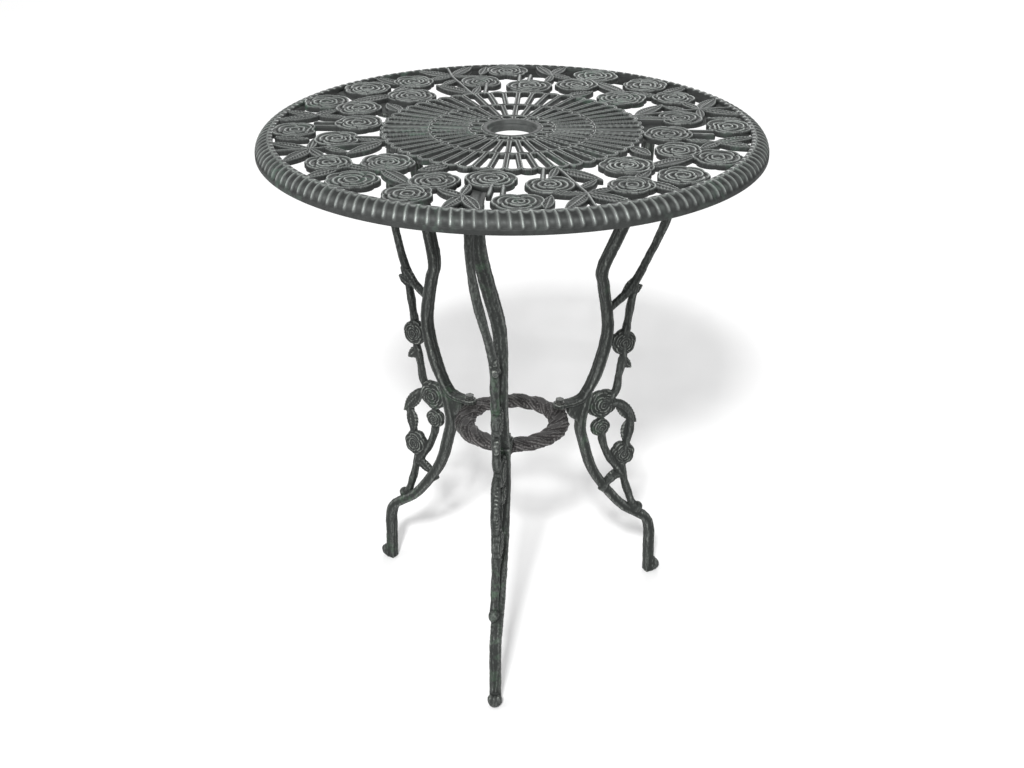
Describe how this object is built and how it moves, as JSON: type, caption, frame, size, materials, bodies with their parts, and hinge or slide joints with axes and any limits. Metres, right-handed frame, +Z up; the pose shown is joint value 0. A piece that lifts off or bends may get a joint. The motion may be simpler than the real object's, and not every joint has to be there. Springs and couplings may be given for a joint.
{
  "type": "bistro table",
  "caption": "Round pierced cast garden bistro table: rose and sunburst top with a fluted rim and parasol hole, bolted to rose-vine legs tied by a wreath ring.",
  "frame": {"origin": "on the floor, under the centre of the round top", "axes": "+Z up; the front leg stands towards -Y, the others 120 degrees to each side"},
  "size_m": [0.5999, 0.6, 0.675],
  "materials": {
    "cast_top": "antique dark grey paint, rubbed to a pale grey-green on the raised edges",
    "cast_legs": "antique dark grey paint with verdigris green in the hollows and pale worn ridges",
    "cast_ring": "antique dark grey paint, rubbed on the leaf edges",
    "bolts": "dark painted steel, worn on the corners",
    "washers": "dulled zinc-plated steel"
  },
  "bodies": {
    "root": {"tabletop": "cast_top", "leg_front": "cast_legs", "leg_right": "cast_legs", "leg_left": "cast_legs", "wreath_ring": "cast_ring", "top_washer_inner_front": "washers", "top_spring_washer_inner_front": "washers", "top_bolt_inner_front": "bolts", "top_washer_outer_front": "washers", "top_spring_washer_outer_front": "washers", "top_bolt_outer_front": "bolts", "ring_washer_upper_front": "washers", "ring_bolt_front": "bolts", "ring_washer_lower_front": "washers", "ring_nut_front": "bolts", "top_washer_inner_right": "washers", "top_spring_washer_inner_right": "washers", "top_bolt_inner_right": "bolts", "top_washer_outer_right": "washers", "top_spring_washer_outer_right": "washers", "top_bolt_outer_right": "bolts", "ring_washer_upper_right": "washers", "ring_bolt_right": "bolts", "ring_washer_lower_right": "washers", "ring_nut_right": "bolts", "top_washer_inner_left": "washers", "top_spring_washer_inner_left": "washers", "top_bolt_inner_left": "bolts", "top_washer_outer_left": "washers", "top_spring_washer_outer_left": "washers", "top_bolt_outer_left": "bolts", "ring_washer_upper_left": "washers", "ring_bolt_left": "bolts", "ring_washer_lower_left": "washers", "ring_nut_left": "bolts"}
  },
  "joints": []
}
